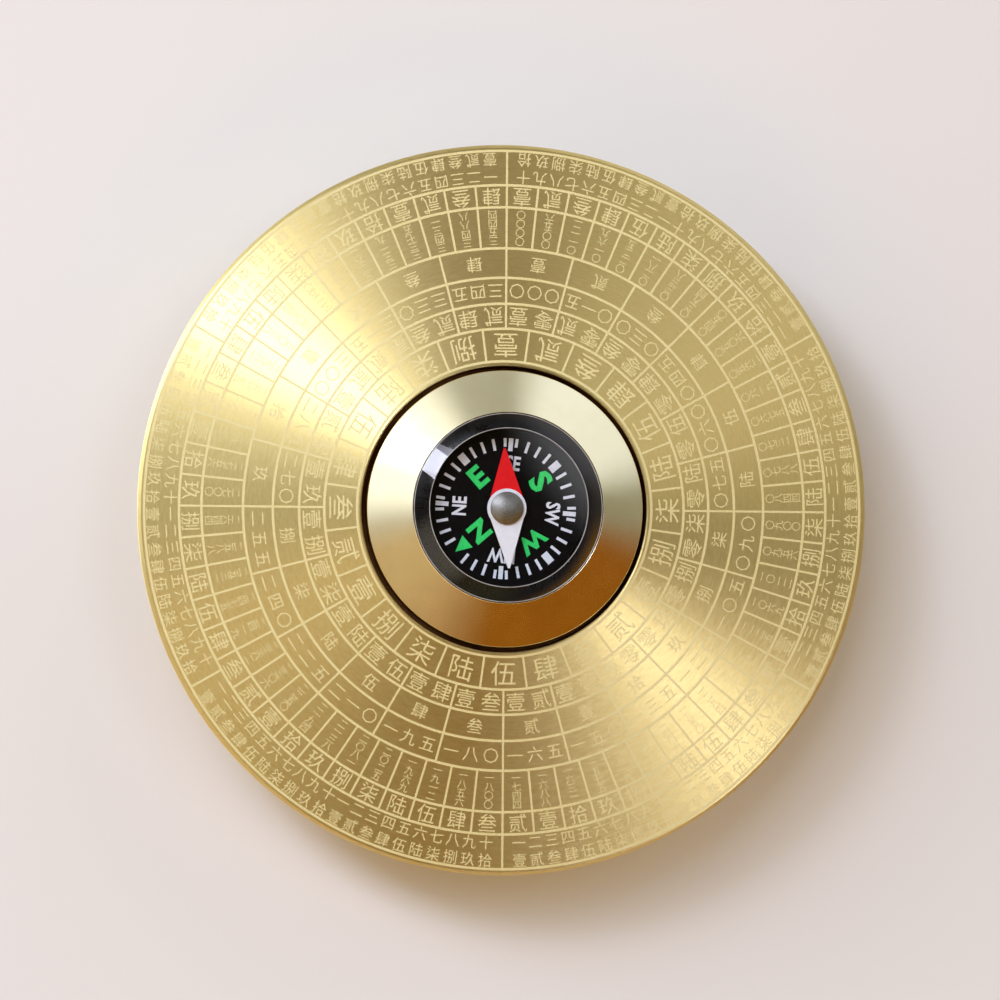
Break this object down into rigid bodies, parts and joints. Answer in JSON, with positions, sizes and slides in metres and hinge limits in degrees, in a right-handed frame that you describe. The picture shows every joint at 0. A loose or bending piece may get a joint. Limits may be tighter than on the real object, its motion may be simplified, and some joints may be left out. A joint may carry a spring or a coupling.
{
  "type": "spinning compass disc",
  "caption": "Turned brass disc with compass rings on its face, spinning on a sealed ball bearing about its finger caps, the upper of which holds a small button compass under a clear lens",
  "frame": {"origin": "centre of the lower cap's base, where the disc's axis meets the surface it lies on", "axes": "+Z along the spin axis towards the marked face, +Y towards the top of the face and +X towards its right as seen from the front"},
  "size_m": [0.058, 0.058, 0.0139],
  "materials": {
    "turned_brass": "lathe-turned, fine concentric grooves, pale laser marking",
    "polished_brass": "polished",
    "bearing_steel": "ground",
    "ball_steel": "mirror polished",
    "cage_nylon": "natural moulded nylon",
    "adhesive": "matt",
    "black_plastic": "gloss",
    "clear_plastic": "clear, polished",
    "dial_card": "printed black",
    "pin_steel": "drawn",
    "needle_paint": "painted, one half red and one half white",
    "needle_metal": "turned"
  },
  "bodies": {
    "hub": {"bottom_cap": "polished_brass", "top_cap": "polished_brass", "bearing_inner_race": "bearing_steel", "adhesive_pad": "adhesive", "capsule_cup": "black_plastic", "dial": "dial_card", "pivot_pin": "pin_steel", "capsule_lens": "clear_plastic"},
    "spinner": {"disc": "turned_brass", "bearing_outer_race": "bearing_steel", "bearing_shield_top": "bearing_steel", "bearing_shield_bottom": "bearing_steel"},
    "ball_set": {"bearing_cage": "cage_nylon", "bearing_ball_1": "ball_steel", "bearing_ball_2": "ball_steel", "bearing_ball_3": "ball_steel", "bearing_ball_4": "ball_steel", "bearing_ball_5": "ball_steel", "bearing_ball_6": "ball_steel", "bearing_ball_7": "ball_steel", "bearing_ball_8": "ball_steel", "bearing_ball_9": "ball_steel", "bearing_ball_10": "ball_steel"},
    "needle": {"needle_blade": "needle_paint", "needle_cap": "needle_metal"}
  },
  "joints": [
    {"name": "disc_spin", "type": "hinge", "parent": "hub", "child": "spinner", "pos_m": [0, 0, 0.00518], "axis": [0, 0, 1], "continuous": true},
    {"name": "cage_spin", "type": "hinge", "parent": "hub", "child": "ball_set", "pos_m": [0, 0, 0.00518], "axis": [0, 0, 1], "continuous": true},
    {"name": "needle_swing", "type": "hinge", "parent": "hub", "child": "needle", "pos_m": [0, 0, 0.01216], "axis": [0, 0, 1], "continuous": true}
  ],
  "couplings": [
    {"joint": "cage_spin", "follows": "disc_spin", "ratio": 0.58336}
  ]
}
